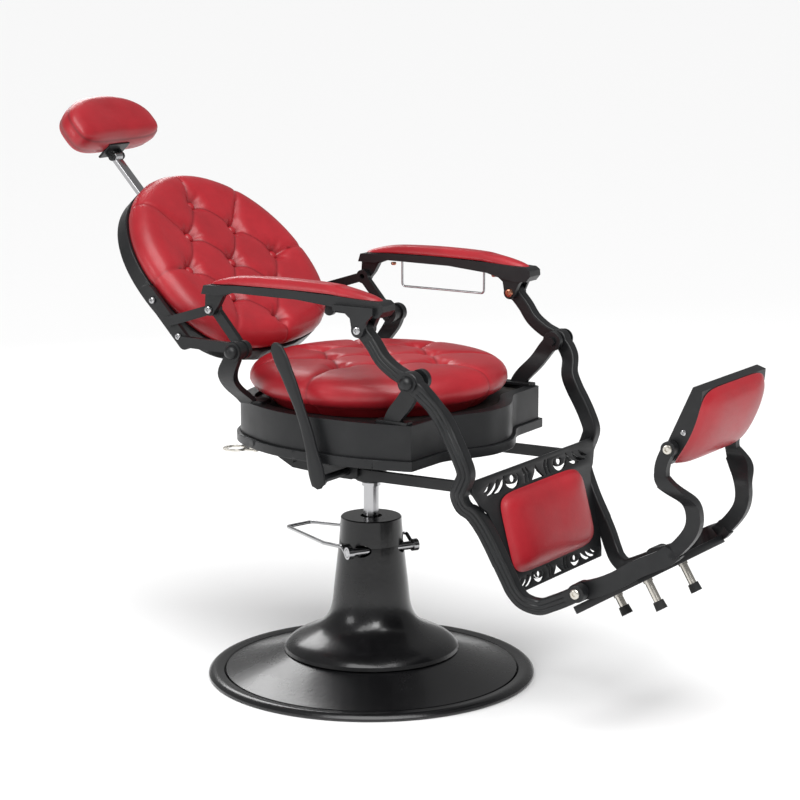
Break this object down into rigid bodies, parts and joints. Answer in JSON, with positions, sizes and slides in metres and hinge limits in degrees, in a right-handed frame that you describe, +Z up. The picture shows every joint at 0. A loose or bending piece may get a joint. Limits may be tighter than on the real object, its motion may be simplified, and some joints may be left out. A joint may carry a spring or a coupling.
{
  "type": "hydraulic barber chair",
  "caption": "Reclining barber chair with a buttoned red seat and back, armrest linkage, fretwork leg frame, flip footrest and a round hydraulic pump base.",
  "frame": {"origin": "on the floor under the pump column's axis", "axes": "+Z up, -Y the way the chair faces, +X the occupant's left"},
  "size_m": [0.6999, 1.6196, 1.2017],
  "materials": {
    "black_frame": "satin powder coat",
    "gloss_black": "gloss enamel",
    "cast_base": "painted casting",
    "chrome": "polished",
    "nickel": "brushed nickel plate",
    "copper_bolt": "burnished",
    "red_leather": "smooth buttoned upholstery",
    "rubber": "matt",
    "plywood": "sanded",
    "black_shell": "fine grain"
  },
  "bodies": {
    "base": {"base_weight": "cast_base", "base_rim": "gloss_black", "base_dish": "gloss_black", "column_skirt": "gloss_black", "column_collar": "gloss_black", "pump_cylinder": "nickel"},
    "pump_pedal": {"pedal_shaft": "chrome", "pedal_loop": "chrome"},
    "lift": {"piston_rod": "chrome"},
    "seat": {"swivel_hub": "black_frame", "seat_box": "black_frame", "seat_box_band": "black_frame", "seat_board": "plywood", "seat_cushion": "red_leather", "rear_bracket_left": "black_frame", "rear_bracket_right": "black_frame", "front_bracket_left": "black_frame", "front_bracket_right": "black_frame", "rear_pivot_bolt_left": "black_frame", "rear_pivot_bolt_right": "black_frame", "front_pivot_bolt_left": "black_frame", "front_pivot_bolt_right": "black_frame", "lock_plate_left": "black_frame", "lock_plate_right": "black_frame", "rear_ring": "nickel"},
    "recline_lever": {"recline_lever": "black_frame"},
    "back": {"back_shell": "black_shell", "back_cushion": "red_leather", "back_bracket_left": "black_frame", "back_bracket_right": "black_frame", "arm_bolt_left": "nickel", "arm_bolt_right": "nickel", "headrest_sleeve": "black_frame"},
    "headrest_bar": {"headrest_bar": "chrome"},
    "headrest": {"headrest_hinge": "black_frame", "headrest_pad": "red_leather"},
    "arm_left": {"arm_frame_left": "black_frame", "arm_pad_left": "red_leather", "arm_front_bolt_left": "copper_bolt", "towel_bar": "chrome"},
    "arm_right": {"arm_frame_right": "black_frame", "arm_pad_right": "red_leather", "arm_front_bolt_right": "copper_bolt"},
    "leg_frame": {"leg_side_left": "black_frame", "leg_side_right": "black_frame", "foot_bolt_left": "nickel", "foot_bolt_right": "nickel", "fret_panel": "black_frame", "calf_pad": "red_leather"},
    "link_left": {"link_bar_left": "black_frame"},
    "link_right": {"link_bar_right": "black_frame"},
    "footrest": {"footrest_side_left": "black_frame", "footrest_side_right": "black_frame", "panel_bolt_left": "nickel", "panel_bolt_right": "nickel", "footrest_tread": "black_frame", "footrest_posts": "nickel", "footrest_tips": "rubber"},
    "flip_panel": {"panel_shell": "black_shell", "panel_pad": "red_leather"}
  },
  "joints": [
    {"name": "seat_lift", "type": "slide", "parent": "base", "child": "lift", "axis": [0, 0, 1], "range_m": [-0.07, 0.065]},
    {"name": "seat_swivel", "type": "hinge", "parent": "lift", "child": "seat", "pos_m": [0, 0, 0.46], "axis": [0, 0, 1], "continuous": true},
    {"name": "pump_pedal_press", "type": "hinge", "parent": "base", "child": "pump_pedal", "pos_m": [-0.02383, -0.04281, 0.283], "axis": [-0.8738, 0.4863, 0], "range_deg": [0, 18], "stiffness_Nm_per_rad": 8, "springref_deg": -14.32},
    {"name": "back_recline", "type": "hinge", "parent": "seat", "child": "back", "pos_m": [0, 0.13, 0.733], "axis": [1, 0, 0], "range_deg": [0, 38]},
    {"name": "leg_swing", "type": "hinge", "parent": "seat", "child": "leg_frame", "pos_m": [0, -0.29, 0.711], "axis": [1, 0, 0], "range_deg": [0, 31]},
    {"name": "arm_left_turn", "type": "hinge", "parent": "back", "child": "arm_left", "pos_m": [0, 0.2, 0.812], "axis": [1, 0, 0], "range_deg": [-41.34, 0]},
    {"name": "arm_right_turn", "type": "hinge", "parent": "back", "child": "arm_right", "pos_m": [0, 0.2, 0.812], "axis": [1, 0, 0], "range_deg": [-41.34, 0]},
    {"name": "link_left_turn", "type": "hinge", "parent": "leg_frame", "child": "link_left", "pos_m": [0, -0.372, 0.488], "axis": [1, 0, 0], "range_deg": [-31, 0]},
    {"name": "link_right_turn", "type": "hinge", "parent": "leg_frame", "child": "link_right", "pos_m": [0, -0.372, 0.488], "axis": [1, 0, 0], "range_deg": [-31, 0]},
    {"name": "footrest_fold", "type": "hinge", "parent": "leg_frame", "child": "footrest", "pos_m": [0, -0.598, 0.306], "axis": [1, 0, 0], "range_deg": [-35, 0]},
    {"name": "panel_flip", "type": "hinge", "parent": "footrest", "child": "flip_panel", "pos_m": [0, -0.777, 0.609], "axis": [1, 0, 0], "range_deg": [-110, 0]},
    {"name": "lever_pull", "type": "hinge", "parent": "seat", "child": "recline_lever", "pos_m": [0, -0.075, 0.49], "axis": [1, 0, 0], "range_deg": [-12, 0], "stiffness_Nm_per_rad": 6, "springref_deg": 14.32},
    {"name": "headrest_slide", "type": "slide", "parent": "back", "child": "headrest_bar", "axis": [0, 0.6884, 0.7254], "range_m": [-0.09, 0.04]},
    {"name": "headrest_tilt", "type": "hinge", "parent": "headrest_bar", "child": "headrest", "pos_m": [0, 0.67304, 1.07803], "axis": [1, 0, 0], "range_deg": [-18, 18]}
  ],
  "couplings": [
    {"joint": "leg_swing", "follows": "back_recline", "ratio": 0.8},
    {"joint": "arm_left_turn", "follows": "back_recline", "ratio": -1.072},
    {"joint": "arm_right_turn", "follows": "back_recline", "ratio": -1.072},
    {"joint": "link_left_turn", "follows": "back_recline", "ratio": -0.8},
    {"joint": "link_right_turn", "follows": "back_recline", "ratio": -0.8}
  ]
}
